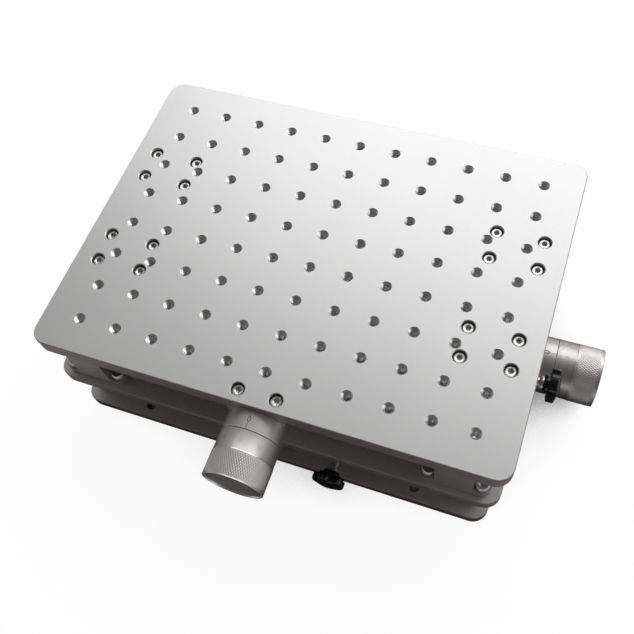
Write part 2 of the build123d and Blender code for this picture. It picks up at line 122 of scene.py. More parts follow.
class Finish:
    """Nodes of a material, or of the room's light, under construction."""

    def __init__(self, owner):
        self.owner = owner
        owner.use_nodes = True
        self.tree = owner.node_tree
        self.tree.nodes.clear()

    def node(self, kind, settings=None, values=None, output=0):
        """Add a node: its settings first, then the values or links of its sockets."""
        made = self.tree.nodes.new("ShaderNode" + kind)
        for name, value in (settings or {}).items():
            setattr(made, name, value)
        for name, value in (values or {}).items():
            if isinstance(value, Shade):
                self.tree.links.new(value.socket, made.inputs[name])
            else:
                made.inputs[name].default_value = value
        return Shade(self, made.outputs[output]) if made.outputs else None

    def place(self):
        """Coordinates on the piece itself, in metres."""
        return self.node("TexCoord", output="Object")

    def noise(self, scale, detail=2.0, roughness=0.5, vector=None):
        return self.node("TexNoise", None, {
            "Vector": vector or self.place(), "Scale": scale, "Detail": detail,
            "Roughness": roughness})

    def tool_lines(self, scale):
        """Noise that is drawn out where its scale is low, as a mill leaves it."""
        stretched = self.node("VectorMath", {"operation": "MULTIPLY"},
                              {0: self.place(), 1: scale})
        return self.noise(1.0, vector=stretched)

    def rings(self, spacing):
        """Noise along a turned piece and outwards over its faces, as a lathe tool leaves it."""
        parts = self.node("SeparateXYZ", None, {0: self.place()})
        across = (parts * parts + parts.output("Y") * parts.output("Y")) ** 0.5
        return self.node("TexNoise", {"noise_dimensions": "1D"}, {
            "W": across + parts.output("Z"), "Scale": 1 / spacing, "Detail": 3.0})

    def ramp(self, value, start, end, low=0.0, high=1.0, kind="LINEAR"):
        """Carry a value from one range over to another."""
        return self.node("MapRange", {"interpolation_type": kind}, {
            "Value": value, "From Min": start, "From Max": end, "To Min": low, "To Max": high})

    def levels(self, noise, low, high):
        """Spread a noise's middle range over low to high."""
        return self.ramp(noise, 0.3, 0.7, low, high)

    def blend(self, factor, first, second, kind="MIX"):
        """Mix two colours, each from a socket or as three numbers."""
        first, second = (colour if isinstance(colour, Shade) else (*colour, 1)
                         for colour in (first, second))
        return self.node("Mix", {"data_type": "RGBA", "blend_type": kind},
                         {0: factor, 6: first, 7: second}, 2)

    def tint(self, colour, level):
        """Colour times a grey level."""
        grey = self.node("CombineColor", None, {0: level, 1: level, 2: level})
        return self.blend(1.0, colour, grey, "MULTIPLY")

    def bump(self, height, depth, strength=0.5):
        return self.node("Bump", None, {
            "Height": height, "Distance": depth, "Strength": strength})

    def ray_kinds(self):
        """Whether a ray is the camera's own, and whether it was mirrored or let through."""
        seen = self.node("LightPath")
        return seen, seen.output("Is Glossy Ray") + seen.output("Is Transmission Ray")

    def surface(self, values):
        shader = self.node("BsdfPrincipled", None, values)
        self.node("OutputMaterial", None, {"Surface": shader})

    def metal(self, colour, metallic, marks, stain, roughness, bump, specular=0.35):
        """Metal whose grey follows two noises, each given with its range, as its gloss is."""
        level = self.levels(*marks) * self.levels(*stain)
        self.surface({
            "Base Color": self.tint(colour, level), "Metallic": metallic,
            "Roughness": self.levels(*roughness), "Specular IOR Level": specular,
            "Normal": self.bump(*bump)})


def new_finish(name):
    return Finish(bpy.data.materials.new(name))


def finish_of(name):
    material = bpy.data.materials.get(name)
    if material is None:
        raise RuntimeError(f"the finish {name} isn't made yet")
    return material


def anodised(name, colours):
    """Clear anodised plate: a fine blasted grain with a faint cloudiness."""
    finish = new_finish(name)
    grain = finish.noise(2600)
    cloud = finish.noise(18, 3.0)
    gloss = colours.plate_roughness
    finish.metal(colours.plate, colours.plate_metal, (grain, 0.965, 1.035),
                 (cloud, 0.985, 1.015), (grain, gloss - 0.04, gloss + 0.05),
                 (grain, 0.02 * mm, 0.6))


def machined(name, colours):
    """Milled aluminium: faint straight tool lines over a fine grain."""
    finish = new_finish(name)
    lines = finish.tool_lines((500, 500, 3500))
    grain = finish.noise(3000, 1.0)
    finish.metal(colours.block, colours.block_metal, (lines, 0.93, 1.05), (grain, 0.98, 1.02),
                 (lines, 0.34, 0.48), (lines, 0.015 * mm))


def milled_side(name, colours):
    """Side of an anodised plate, with fine lines along it; its colour is darker and browner than
    the plate's top, which is painted shade.
    """
    finish = new_finish(name)
    lines = finish.tool_lines((120, 120, 2600))
    stain = finish.noise(40, 3.0)
    finish.metal(colours.plate_edge, colours.plate_edge_metal, (lines, 0.92, 1.06),
                 (stain, 0.95, 1.04), (lines, 0.42, 0.54), (lines, 0.008 * mm), 0.25)


def turned_metal(name, colour, roughness, spacing, metallic):
    """Turned metal: lathe rings that vary in depth and gloss."""
    finish = new_finish(name)
    rings = finish.rings(spacing)
    grain = finish.noise(3000, 1.0)
    finish.metal(colour, metallic, (rings, 0.94, 1.05), (grain, 0.985, 1.015),
                 (rings, roughness - 0.05, roughness + 0.06), (rings, 0.01 * mm))


def ground_metal(name, colour, roughness, scale):
    """Ground or drawn metal: a fine grain with faint stains."""
    finish = new_finish(name)
    grain = finish.noise(scale)
    stain = finish.noise(120, 3.0)
    finish.metal(colour, 1.0, (grain, 0.95, 1.04), (stain, 0.96, 1.02),
                 (stain, roughness - 0.05, roughness + 0.08), (grain, 0.006 * mm), 0.5)


def moulded_plastic(name, colours):
    """Black moulded plastic with a fine spark-eroded grain and handled high spots."""
    finish = new_finish(name)
    grain = finish.noise(2200, 3.0, 0.6)
    worn = finish.noise(260)
    finish.surface({
        "Base Color": finish.tint(colours.knob, finish.levels(worn, 0.8, 1.35)),
        "Roughness": finish.levels(worn, 0.14, 0.22),
        "Specular IOR Level": 0.4,
        "Normal": finish.bump(grain, 0.03 * mm),
    })


def engraved_mark(name, colour):
    """Worn paint in an engraved line."""
    finish = new_finish(name)
    worn = finish.noise(1500)
    finish.surface({
        "Base Color": finish.tint(colour, finish.levels(worn, 0.8, 1.4)),
        "Roughness": finish.levels(worn, 0.5, 0.7),
    })


# Bodies
class Body:
    """A mesh that grows from rings of points."""

    def __init__(self):
        self.mesh = bmesh.new()
        self.face = self.mesh.faces.new

    def ring(self, points):
        return [self.mesh.verts.new(point) for point in points]

    def skin(self, first, second, closed=True):
        """Join two rings of as many points with quads."""
        count = len(first) if closed else len(first) - 1
        for i in range(count):
            j = (i + 1) % len(first)
            self.face((first[i], first[j], second[j], second[i]))

    def loft(self, rings, start=True, end=True):
        made = [self.ring(points) for points in rings]
        for first, second in zip(made, made[1:]):
            self.skin(first, second)
        if start:
            self.face(made[0][::-1])
        if end:
            self.face(made[-1])
        return made

    def to_mesh(self, name):
        mesh = bpy.data.meshes.new(name)
        self.mesh.to_mesh(mesh)
        self.mesh.free()
        return mesh

    def line(self, rings, number):
        """Give the faces between these rings a further finish of the piece."""
        inside = {point for ring in rings for point in ring}
        for point in inside:
            for face in point.link_faces:
                if all(corner in inside for corner in face.verts):
                    face.material_index = number


def polar(radius, angle, z):
    return Vector((radius * cos(angle), radius * sin(angle), z))


def circles(profile, count, place=None):
    """Rings round Z for a profile of (radius, z) in millimetres; a radius may follow the angle."""
    rings = []
    for radius, z in profile:
        points = []
        for i in range(count):
            angle = 2 * pi * i / count
            size = (radius(angle) if callable(radius) else radius) * mm
            points.append(polar(size, angle, z * mm))
        rings.append([place @ point for point in points] if place else points)
    return rings


def hexagon(across_flats):
    """Radius of a hexagon at an angle."""
    sixth = pi / 3
    return lambda angle: across_flats / 2 / cos(angle % sixth - sixth / 2)


def facing(point, way):
    """Place at a point, with Z along a level way and Y up."""
    place = Matrix((up.cross(way), up, way)).transposed().to_4x4()
    place.translation = point
    return place


def nose(layer):
    """Place on a lead screw's axis at the moving plate's drum edge, Z outwards."""
    low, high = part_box(f"{layer}_index_collar")
    centre = (low + high) / 2
    if layer == "y":
        centre.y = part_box("table_plate")[0].y
    else:
        centre.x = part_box("saddle_plate")[1].x
    return facing(centre, drum_way[layer])


def body_under(node):
    return nodes[node]["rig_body"]


def new_object(name, data):
    made = bpy.data.objects.new(name, data)
    bpy.context.scene.collection.objects.link(made)
    return made


def add_piece(name, mesh, finishes, replaced, rides=None, slot=None, place=None, crease=32.0):
    """Make an object of a mesh, seat it and hang it on the body of what it replaces."""
    piece = new_object(name, mesh)
    for finish in finishes:
        mesh.materials.append(finish_of(finish))
    mesh.shade_smooth()
    mesh.set_sharp_from_angle(angle=radians(crease))
    if place:
        piece.matrix_world = place
    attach(piece, rides or body_under(replaced[0]))
    if replaced:
        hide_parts(*replaced)
    return piece


def finished(body, name, finishes, replaced, **details):
    """Turn a body into a piece with its faces looking outwards."""
    bmesh.ops.recalc_face_normals(body.mesh, faces=body.mesh.faces)
    add_piece(name, body.to_mesh(name), finishes, replaced, **details)


def joined(node):
    """The CAD node's mesh with its points joined."""
    mesh = bmesh.new()
    mesh.from_mesh(nodes[node].data)
    bmesh.ops.remove_doubles(mesh, verts=mesh.verts, dist=0.001 * mm)
    return mesh


def broken_edges(node, name, finish, slot, width, place=None):
    """Copy a CAD node with its sharp edges broken, as a deburred piece has them."""
    flat = radians(0.5)
    sharp = radians(35)
    mesh = joined(node)
    bmesh.ops.dissolve_limit(mesh, angle_limit=flat, verts=mesh.verts, edges=mesh.edges)
    for face in mesh.faces:
        face.material_index = 0
    data = bpy.data.meshes.new(name)
    if place:
        bmesh.ops.transform(mesh, matrix=place.inverted(), verts=mesh.verts)
    mesh.to_mesh(data)
    mesh.free()
    piece = add_piece(name, data, [finish], [node], slot=slot, place=place)
    bevel = piece.modifiers.new("broken_edges", "BEVEL")
    bevel.width = width
    bevel.segments = 2
    bevel.limit_method = "ANGLE"
    bevel.angle_limit = sharp


def solids(node):
    """Box of each separate solid in a CAD node, as its lowest and highest corner."""
    mesh = joined(node)
    seen = set()
    boxes = []
    for start in mesh.verts:
        if start in seen:
            continue
        seen.add(start)
        group = [start]
        for point in group:
            for edge in point.link_edges:
                other = edge.other_vert(point)
                if other not in seen:
                    seen.add(other)
                    group.append(other)
        spread = list(zip(*(point.co for point in group)))
        boxes.append((Vector(map(min, spread)), Vector(map(max, spread))))
    mesh.free()
    return boxes


# Plates
def rounded_outline(low, high, radius, inset, z, steps=8):
    """Rectangle with rounded corners, drawn inset by a distance."""
    points = []
    turns = ((high.x, high.y, 0), (low.x, high.y, 1), (low.x, low.y, 2), (high.x, low.y, 3))
    for x, y, quarter in turns:
        centre_x = x - copysign(radius, x - (low.x + high.x) / 2)
        centre_y = y - copysign(radius, y - (low.y + high.y) / 2)
        for step in range(steps + 1):
            angle = (quarter + step / steps) * pi / 2
            points.append(Vector((
                centre_x + (radius - inset) * cos(angle),
                centre_y + (radius - inset) * sin(angle), z)))
    return points


def tapped_profile(major, pitch, countersink, top, bottom):
    """Threaded hole from the top of a plate to its bottom, with both mouths countersunk."""
    deep = (countersink - major) / 2
    minor = major - 1.08 * pitch
    profile = [(countersink / 2, top), (major / 2 - 0.1, top - deep - 0.1)]
    z = top - deep - 0.1
    while z - pitch > bottom + deep:
        profile += [(minor / 2, z - 0.38 * pitch), (minor / 2, z - 0.55 * pitch),
                    (major / 2, z - 0.93 * pitch), (major / 2, z - pitch)]
        z -= pitch
    return profile + [(minor / 2, bottom + deep + 0.2), (countersink / 2, bottom)]


def sunk_profile(counterbore, chamfer, clear, depth, top, bottom):
    """Counterbored hole for a cap screw, with its mouth broken."""
    return [(counterbore / 2 + chamfer, top), (counterbore / 2, top - chamfer),
            (counterbore / 2, top - depth), (clear / 2, top - depth), (clear / 2, bottom)]


def plain_profile(diameter, chamfer, top, bottom):
    return [(diameter / 2 + chamfer, top), (diameter / 2, top - chamfer),
            (diameter / 2, bottom + chamfer), (diameter / 2 + chamfer, bottom)]


def drilled_plate(node, holes, sizes):
    """Plate with broken edges and every hole (x, y, profile, count, finish) cut through it."""
    body = Body()
    low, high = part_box(node)
    edge = sizes.edge_chamfer
    levels = ((edge, low.z), (0, low.z + edge), (0, high.z - edge), (edge, high.z))
    walls = body.loft([
        rounded_outline(low, high, sizes.corner_radius, inset, z) for inset, z in levels],
        start=False, end=False)
    # The side walls take the piece's side finish, whose darker colour is painted shade.
    body.line(walls, on_side)
    mouths = []
    for x, y, profile, count, number in holes:
        place = Matrix.Translation((x, y, low.z))
        made = body.loft(circles(profile, count, place), start=False, end=False)
        body.line(made, number)
        mouths.append((made[0], made[-1]))
    for outline, side in ((walls[-1], 0), (walls[0], 1)):
        rim = loop_edges(body, outline)
        for mouth in mouths:
            rim += loop_edges(body, mouth[side])
        bmesh.ops.triangle_fill(body.mesh, use_beauty=True, edges=rim)
    return body


def loop_edges(body, ring):
    return [body.mesh.edges.get((ring[i - 1], ring[i])) for i in range(len(ring))]


def upright_screws(node):
    """Middles of the screws in a node that stand upright."""
    middles = []
    for low, high in solids(node):
        size = high - low
        if size.z == max(size):
            middles.append(((low.x + high.x) / 2, (low.y + high.y) / 2))
    return middles


def thickness(node):
    """Height of a plate in millimetres."""
    low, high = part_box(node)
    return (high.z - low.z) / mm


def screw_holes(node, sizes, hung, standing):
    """Counterbores for the layer hung under a plate, tapped holes for the one standing on it."""
    clear, thread, pitch, countersink = 4.5, 5.0, 0.8, 5.6
    depth = sizes.counterbore_depth if node == "table_plate" else 5 * mm
    sunk = sunk_profile(sizes.counterbore / mm, sizes.counterbore_chamfer / mm, clear,
                        depth / mm, thickness(node), 0)
    tapped = tapped_profile(thread, pitch, countersink, thickness(node), 0)
    holes = []
    for layer, kinds, cut in (
            (hung, ("carriage", "bearing_block"), (sunk, 32, in_recess)),
            (standing, ("support", "nut"), (tapped, 20, in_thread))):
        for kind in kinds if layer else ():
            holes += [(x, y, *cut) for x, y in upright_screws(f"{layer}_{kind}_screws")]
    return holes


def grid_holes(sizes):
    """Tapped holes in columns and rows round the table's middle."""
    low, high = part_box("table_plate")
    pitch = 1.0
    profile = tapped_profile(sizes.grid_thread / mm, pitch, sizes.grid_countersink / mm,
                             thickness("table_plate"), 0)
    holes = []
    for column in range(sizes.grid_columns):
        for row in range(sizes.grid_rows):
            across = (column - (sizes.grid_columns - 1) / 2) * sizes.grid_pitch
            along = (row - (sizes.grid_rows - 1) / 2) * sizes.grid_pitch
            holes.append(((low.x + high.x) / 2 + across, (low.y + high.y) / 2 + along,
                          profile, 24, in_thread))
    return holes


def foot_holes(sizes):
    """Four plain holes that bolt the base down."""
    profile = plain_profile(sizes.foot_hole / mm, 0.4, thickness("base_plate"), 0)
    return [(side_x * sizes.foot_spacing_x, side_y * sizes.foot_spacing_y, profile, 28, in_recess)
            for side_x in (-0.5, 0.5) for side_y in (-0.5, 0.5)]


# Screws
# Sizes of a socket head cap screw in millimetres
CapScrew = namedtuple("CapScrew", "thread pitch head height socket depth")
cap_screws = (
    CapScrew(5.0, 0.8, 8.5, 5.0, 4.0, 2.5),
    CapScrew(4.0, 0.7, 7.0, 4.0, 3.0, 2.0),
    CapScrew(3.0, 0.5, 5.5, 3.0, 2.5, 1.3),
)


def add_cap_screw(body, place, screw, reach):
    """Screw with its head's underside at the place and its socket towards Z."""
    tip = 0.3
    crest = screw.thread / 2
    root = crest - 0.61 * screw.pitch
    z = tip - reach
    profile = [(root - tip, -reach), (root, z)]
    while z + 1.5 * screw.pitch < 0:
        profile += [(crest, z + 0.5 * screw.pitch), (root, z + screw.pitch)]
        z += screw.pitch
    top = screw.height
    rim = screw.head / 2
    flats = hexagon(screw.socket)
    mouth = screw.socket / 2 / cos(pi / 6) + 0.2
    profile += [
        (crest, -0.1), (crest, 0), (rim - 0.2, 0), (rim, 0.2), (rim, top - 0.6),
        (rim - 0.2, top - 0.25), (rim - 0.6, top), (mouth, top), (flats, top - 0.25),
        (flats, top - screw.depth), (0.4, top - screw.depth - 0.5)]
    made = body.loft(circles(profile, 24, place))
    body.line(made[-3:], in_recess)
    body.line(made[-9:-4], on_side)


def add_screws(node, layer):
    """Every cap screw of a node in one body, heads up or towards the drum."""
    body = Body()
    for low, high in solids(node):
        size = high - low
        middle = (low + high) / 2
        long_way = max(size)
        head = min(size) / mm
        screw = min(cap_screws, key=lambda kind: abs(kind.head - head))
        if size.z == long_way:
            place = Matrix.Translation((middle.x, middle.y, high.z - screw.height * mm))
        else:
            way = drum_way[layer]
            place = facing(middle + way * (long_way / 2 - screw.height * mm), way)
        add_cap_screw(body, place, screw, long_way / mm - screw.height)
    return body


# Drums and marks
def on_drum(radius, across, along):
    """Point on a drum: millimetres round it from its top and outwards along it."""
    angle = across / radius
    return Vector((radius * sin(angle), radius * cos(angle), along)) * mm


def add_stroke(body, points, width, sizes, closed=False):
    """Engraver's stroke along points (across, along) laid on a drum's surface."""
    radius = sizes.ring_diameter / mm / 2
    depth, proud = sizes.mark_depth, sizes.mark_proud
    sections = []
    count = len(points)
    for i, (across, along) in enumerate(points):
        before = points[(i - 1) % count] if closed or i else points[i]
        after = points[(i + 1) % count] if closed or i < count - 1 else points[i]
        way = Vector((after[0] - before[0], after[1] - before[1])).normalized()
        side = Vector((-way.y, way.x)) * width / 2
        sections.append(body.ring([
            on_drum(radius + height, across + sign * side.x, along + sign * side.y)
            for sign, height in ((1, proud), (-1, proud), (-1, -depth), (1, -depth))]))
    for first, second in zip(sections, sections[1:]):
        body.skin(first, second)
    if closed:
        body.skin(sections[-1], sections[0])
    else:
        body.face(sections[0][::-1])
        body.face(sections[-1])


def arc(centre_x, centre_y, width, height, start, end, steps):
    """Points on an ellipse from one angle in degrees to another."""
    angles = [radians(start + (end - start) * i / steps) for i in range(steps + 1)]
    return [(centre_x + width * cos(angle), centre_y + height * sin(angle)) for angle in angles]


def loop(centre_x, centre_y, width, height):
    return arc(centre_x, centre_y, width, height, 0, 360, 20)[:-1]


# Engraver's digits in a box 0.6 wide and 1 high: strokes (closed, points)
digit_strokes = {
    "0": [(True, loop(0.3, 0.5, 0.27, 0.5))],
    "1": [(False, [(0.1, 0.76), (0.22, 0.86), (0.33, 1.0), (0.33, 0.5), (0.33, 0.0)])],
    "2": [(False, arc(0.3, 0.72, 0.26, 0.28, 165, -35, 9)
           + [(0.04, 0.0), (0.3, 0.0), (0.58, 0.0)])],
    "3": [(False, arc(0.29, 0.76, 0.24, 0.24, 150, -80, 9)),
          (False, arc(0.29, 0.27, 0.28, 0.27, 90, -150, 10))],
    "4": [(False, [(0.44, 0.0), (0.44, 0.5), (0.44, 1.0)]),
          (False, [(0.44, 1.0), (0.2, 0.62), (0.0, 0.3)]),
          (False, [(0.0, 0.3), (0.3, 0.3), (0.6, 0.3)])],
    "5": [(False, [(0.54, 1.0), (0.3, 1.0), (0.1, 1.0)]),
          (False, [(0.1, 1.0), (0.07, 0.8), (0.05, 0.56)]),
          (False, arc(0.27, 0.32, 0.29, 0.32, 140, -145, 11))],
    "6": [(True, loop(0.3, 0.3, 0.27, 0.3)), (False, arc(0.62, 0.3, 0.59, 0.72, 176, 110, 6))],
    "7": [(False, [(0.02, 1.0), (0.3, 1.0), (0.58, 1.0)]),
          (False, [(0.58, 1.0), (0.36, 0.5), (0.2, 0.0)])],
    "8": [(True, loop(0.3, 0.76, 0.22, 0.24)), (True, loop(0.3, 0.27, 0.28, 0.27))],
    "9": [(True, loop(0.3, 0.7, 0.27, 0.3)), (False, arc(-0.02, 0.7, 0.59, 0.72, -4, -70, 6))],
}


def add_number(body, text, across, along, height, width, sizes):
    """Number centred on a place of the drum, its top towards the plate."""
    step = 0.78 * height
    left = across - (len(text) - 1) * step / 2 - 0.3 * height
    for place, digit in enumerate(text):
        for closed, points in digit_strokes[digit]:
            laid = [(left + place * step + x * height, along + (0.5 - y) * height)
                    for x, y in points]
            add_stroke(body, laid, width, sizes, closed)


def add_knurl(body, inner, outer, start, end, teeth):
    """Diamond knurl between two distances along a drum, as its rings of groove crossings."""
    pitch = 2 * pi * outer / teeth
    rows = max(2, round((end - start) / (pitch * sqrt(3) / 2)))
    step = (end - start) / rows
    half = pi / teeth

    def point(radius, index, row):
        return polar(radius, index * half, start + row * step) * mm

    crossings = [
        body.ring([point(inner, 2 * i + row % 2, row) for i in range(teeth)])
        for row in range(rows + 1)]
    flat = 0.42
    for row in range(1, rows):
        for i in range(teeth):
            tip = (i + row % 2) % teeth
            rim = (crossings[row][i], crossings[row - 1][tip],
                   crossings[row][(i + 1) % teeth], crossings[row + 1][tip])
            middle = 2 * i + row % 2 + 1
            tops = body.ring([
                point(outer, middle - flat, row), point(outer, middle, row - flat),
                point(outer, middle + flat, row), point(outer, middle, row + flat)])
            for j in range(4):
                body.face((rim[j], rim[(j + 1) % 4], tops[(j + 1) % 4], tops[j]))
            body.face(tops)
    for row, other in ((0, 1), (rows, rows - 1)):
        for i in range(teeth):
            tip = crossings[other][(i + row % 2) % teeth]
            body.face((crossings[row][i], crossings[row][(i + 1) % teeth], tip))
    return crossings[0], crossings[-1]


def drum_body(sizes):
    """Graduated ring, knurled grip and open cup, drawn outwards from the plate's edge."""
    body = Body()
    teeth = sizes.knurl_teeth
    ring = sizes.ring_diameter / mm / 2
    grip = sizes.grip_diameter / mm / 2
    cup = sizes.cup_diameter / mm / 2
    back = sizes.ring_start / mm
    waist = sizes.grip_start / mm
    front = sizes.drum_end / mm
    groove = grip - sizes.knurl_depth / mm
    web_front, web_back = 22.0, 14.0
    bore, back_bore = 5.02, 15.5
    first, last = add_knurl(body, groove, grip, waist + 0.75, front - 0.65, teeth)
    inside = [
        (grip - 0.2, front), (cup + 0.5, front), (cup, front - 0.9), (cup, web_front + 0.5),
        (cup - 0.5, web_front), (bore + 0.28, web_front), (bore, web_front + 0.3),
        (bore, web_back), (back_bore - 0.2, web_back), (back_bore, web_back - 0.2),
        (back_bore, back + 0.2), (back_bore + 0.2, back)]
    outside = [
        (ring - 0.18, back), (ring, back + 0.18), (ring, waist), (grip, waist + 0.6)]
    made = body.loft(circles([(grip, front - 0.25)] + inside + outside, teeth),
                     start=False, end=False)
    body.skin(last, made[0])
    body.skin(made[-1], first)
    body.line(made[2:6], in_recess)
    body.line(made[-2:], on_side)
    return body


def scale_body(sizes):
    """Division lines and numbers round the drum's ring."""
    body = Body()
    radius = sizes.ring_diameter / mm / 2
    start = sizes.ring_start / mm + 0.35
    width = sizes.line_width / mm
    number_place, number_height = 6.3, 2.4
    for i in range(sizes.divisions):
        across = 2 * pi * radius * i / sizes.divisions
        reach = 4.2 if i % 10 == 0 else 3.2 if i % 5 == 0 else 2.2
        line = [(across, start + part * reach) for part in (0.0, 0.5, 1.0)]
        add_stroke(body, line, width, sizes)
        if i % 10 == 0:
            add_number(body, str(i), across, start + number_place, number_height, width * 1.15,
                       sizes)
    return body


def index_body(sizes):
    """Index line of the collar with its 0."""
    body = Body()
    end = sizes.collar_end / mm - 0.25
    width = sizes.index_width / mm
    number_place, number_height = 5.9, 3.2
    line = [(0, end - reach) for reach in (4.0, 2.0, 0.0)]
    add_stroke(body, line, width, sizes)
    add_number(body, "0", 0, end - number_place, number_height, width * 1.5, sizes)
    return body


# Lead screws
def lead_screw_body(layer, sizes):
    """Trapezoidal thread on one body with the journal and the nut's thread."""
    body = Body()
    low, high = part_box(f"{layer}_lead_screw")
    place = nose(layer).inverted()
    tail, tip = sorted(((place @ low).z / mm, (place @ high).z / mm))
    lead = sizes.lead / mm
    crest = 6.0
    root = crest - lead * 0.32
    shoulder = -11.0
    journal, journal_end = 5.0, 21.5
    nut_crest, nut_root, nut_pitch = 3.97, 3.4, 1.25
    thread_start = tail + 1.0
    thread_end = shoulder - 4.0
    steps = 24
    total = int((thread_end - thread_start) / lead * steps)
    shape = ((root, 0.0), (root, 0.3), (crest, 0.48), (crest, 0.82), (root, 1.0))
    sections = []
    for i in range(total + 1):
        angle = 2 * pi * i / steps
        base = thread_start + lead * i / steps
        sections.append(body.ring([
            polar(radius, angle, base + part * lead) * mm for radius, part in shape]))
    for first, second in zip(sections, sections[1:]):
        body.skin(first, second, closed=False)
    core = root - 0.02
    body.loft(circles([(root - 0.6, tail), (core, tail + 0.6), (core, thread_end + lead)], steps))
    body.loft(circles([
        (crest - 0.6, thread_end + 0.4), (crest, thread_end + 1.0), (crest, shoulder - 0.2),
        (crest - 0.2, shoulder), (journal, shoulder), (journal, journal_end - 0.5),
        (journal - 0.2, journal_end), (3.5, journal_end)], steps))
    profile = [(nut_root, journal_end - 0.1)]
    z = journal_end
    while z + nut_pitch < tip - 0.6:
        profile += [(nut_crest, z + 0.6), (nut_root, z + nut_pitch)]
        z += nut_pitch
    profile += [(3.9, tip - 0.8), (3.1, tip)]
    body.loft(circles(profile, steps))
    return body


# Knobs
def star_radius(sizes):
    """Outline of a star knob as a radius at an angle, its lobes' corners rounded."""
    full = sizes.knob_radius / mm
    flute = sizes.flute_radius / mm
    centre = full - sizes.flute_depth / mm + flute
    sector = 2 * pi / sizes.knob_lobes

    def radius(angle):
        turn = (angle + sector / 2) % sector - sector / 2
        side = centre * sin(turn)
        if abs(side) >= flute:
            return full
        groove = centre * cos(turn) - sqrt(flute * flute - side * side)
        return min(full, soft_minimum(full, groove, 0.5) + 0.2)

    return radius


def soft_minimum(first, second, soft):
    return -soft * log(exp(-first / soft) + exp(-second / soft))


def star_ring(radius, inset, z, count, limit=None):
    """Ring of a star outline moved inwards along its own normal and kept inside a limit."""
    points = []
    for i in range(count):
        angle = 2 * pi * i / count
        spots = [Vector((radius(a) * cos(a), radius(a) * sin(a)))
                 for a in (angle - 0.01, angle, angle + 0.01)]
        way = (spots[2] - spots[0]).normalized()
        spot = spots[1] - Vector((way.y, -way.x)) * inset
        if limit:
            spot *= soft_minimum(spot.length, limit, 0.25) / spot.length
        points.append(Vector((spot.x, spot.y, z)) * mm)
    return points


def knob_body(reach, sizes):
    """Star knob with a hub behind its head, Z outwards and its crown's top at reach."""
    body = Body()
    count = 24 * sizes.knob_lobes
    radius = star_radius(sizes)
    full = sizes.knob_radius / mm
    rim = reach - (sizes.head_length - sizes.rim_length) / mm
    bottom = reach - sizes.head_length / mm
    start = bottom - sizes.hub_length / mm
    hub = sizes.hub_diameter / mm / 2
    insert = sizes.insert_diameter / mm / 2
    step = start + sizes.insert_length / mm
    bore = 3.05
    rings = circles([(bore, start), (insert - 0.25, start), (insert, start + 0.25),
                     (insert, step), (hub - 0.4, step), (hub, step + 0.4), (hub, bottom)], count)
    for inset, z in ((0.9, 0.0), (0.35, 0.15), (0.1, 0.4), (0.0, 0.8)):
        rings.append(star_ring(radius, inset, bottom + z, count))
    crown = sizes.crown_radius / mm
    for part in (0.0, 0.03, 0.1, 0.25, 0.5, 0.75, 0.92, 1.0):
        limit = full + 0.3 + (crown - full) * part
        z = rim - 0.9 * (1 - min(1, part * 12)) + (reach - 0.06 - rim) * part
        rings.append(star_ring(radius, 0.0, z, count, limit))
    rings += circles([(crown - 0.6, reach), (0.8, reach)], count)
    made = body.loft(rings, start=False)
    well = body.ring(circles([(bore, bottom + 3.0)], count)[0])
    body.skin(well, made[0])
    body.face(well[::-1])
    body.line(made[:4], in_recess)
    return body


# Settings
def setting(kind, name, description, default, **details):
    return kind(name=name, description=description, default=default, **details)


def length(name, description, millimetres):
    return setting(FloatProperty, name, description, millimetres * mm, unit="LENGTH",
                   precision=5, min=0.0)


plain = partial(setting, FloatProperty)
whole = partial(setting, IntProperty)
share = partial(setting, FloatProperty, subtype="FACTOR", min=0.0, max=1.0)
paint = partial(setting, FloatVectorProperty, subtype="COLOR", size=3, min=0.0, max=1.0)


class PlateSizes(PropertyGroup):
    """Sizes of the three plates and their holes"""

    corner_radius: length("Corner radius", "Radius of a plate's corners", 10)
    edge_chamfer: length("Edge chamfer", "Broken edge round each plate", 0.5)
    grid_pitch: length("Grid pitch", "Spacing of the table's tapped holes", 25)
    grid_columns: whole("Grid columns", "Tapped holes across the table", 11, min=1)
    grid_rows: whole("Grid rows", "Tapped holes from front to back", 8, min=1)
    grid_thread: length("Grid thread", "Thread diameter of the tapped holes", 6)
    grid_countersink: length("Grid countersink", "Countersink at the mouth of a tapped hole", 7.3)
    counterbore: length("Counterbore", "Diameter of a plate screw's counterbore", 8.5)
    counterbore_chamfer: length("Counterbore chamfer", "Broken edge of a counterbore", 0.45)
    counterbore_depth: length("Counterbore depth", "Depth of the table's counterbores", 5.8)
    foot_spacing_x: length("Foot spacing X", "Base's holes along X", 190)
    foot_spacing_y: length("Foot spacing Y", "Base's holes along Y", 197)
    foot_hole: length("Foot hole", "Diameter of the base's holes", 6.6)
    broken_edge: length("Broken edge", "Edge break of the blocks", 0.35)


class DrumSizes(PropertyGroup):
    """Sizes of the drums, their scale and the index collars"""

    ring_diameter: length("Ring diameter", "Diameter of the graduated ring", 37.4)
    grip_diameter: length("Grip diameter", "Diameter over the knurl", 37.8)
    cup_diameter: length("Cup diameter", "Inside diameter of the open end", 35.4)
    collar_end: length("Collar end", "Front of the collar from the plate", 11.8)
    ring_start: length("Ring start", "Back of the ring from the plate", 12.1)
    grip_start: length("Grip start", "Back of the grip from the plate", 24)
    drum_end: length("Drum end", "Front of the drum from the plate", 41)
    knurl_depth: length("Knurl depth", "Depth of the knurl's grooves", 0.16)
    knurl_teeth: whole("Knurl teeth", "Diamonds round the grip", 76, min=12)
    divisions: whole("Divisions", "Lines round the ring", 100, min=10)
    line_width: length("Line width", "Width of a division line", 0.16)
    index_width: length("Index width", "Width of the index line", 0.3)
    mark_depth: plain("Mark depth", "Millimetres that a mark reaches into the metal", 0.06)
    mark_proud: plain("Mark proud", "Millimetres that a mark's paint stands proud", 0.012)
    lead: length("Lead", "Travel of one turn of a lead screw", 5)


